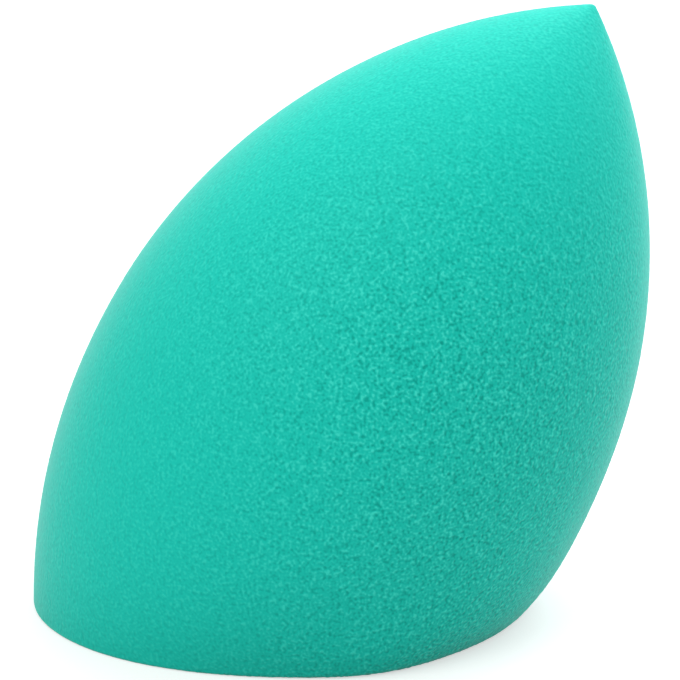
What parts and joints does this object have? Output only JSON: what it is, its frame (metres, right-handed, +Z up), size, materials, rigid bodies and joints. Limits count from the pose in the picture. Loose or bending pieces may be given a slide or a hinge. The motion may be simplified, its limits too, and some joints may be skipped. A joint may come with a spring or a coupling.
{
  "type": "makeup sponge",
  "caption": "Olive-shaped foam makeup sponge with a pointed tip, cut on the slant so that it stands on a flat face, for blending cosmetics.",
  "frame": {"origin": "the point where the sponge's own axis meets the flat cut face that it stands on", "axes": "+Z up, square to the cut face; +X towards the side that the pointed tip leans to; +Y completes a right-handed frame, and the sponge is the same on both sides of the plane Y = 0"},
  "size_m": [0.0519, 0.0438, 0.0519],
  "materials": {
    "cut_foam": "matte open-celled foam, bare at the cut face",
    "skin_foam": "matte fine-pored moulded foam skin"
  },
  "bodies": {
    "root": {"foam_core": "cut_foam", "moulded_skin": "skin_foam"}
  },
  "joints": []
}
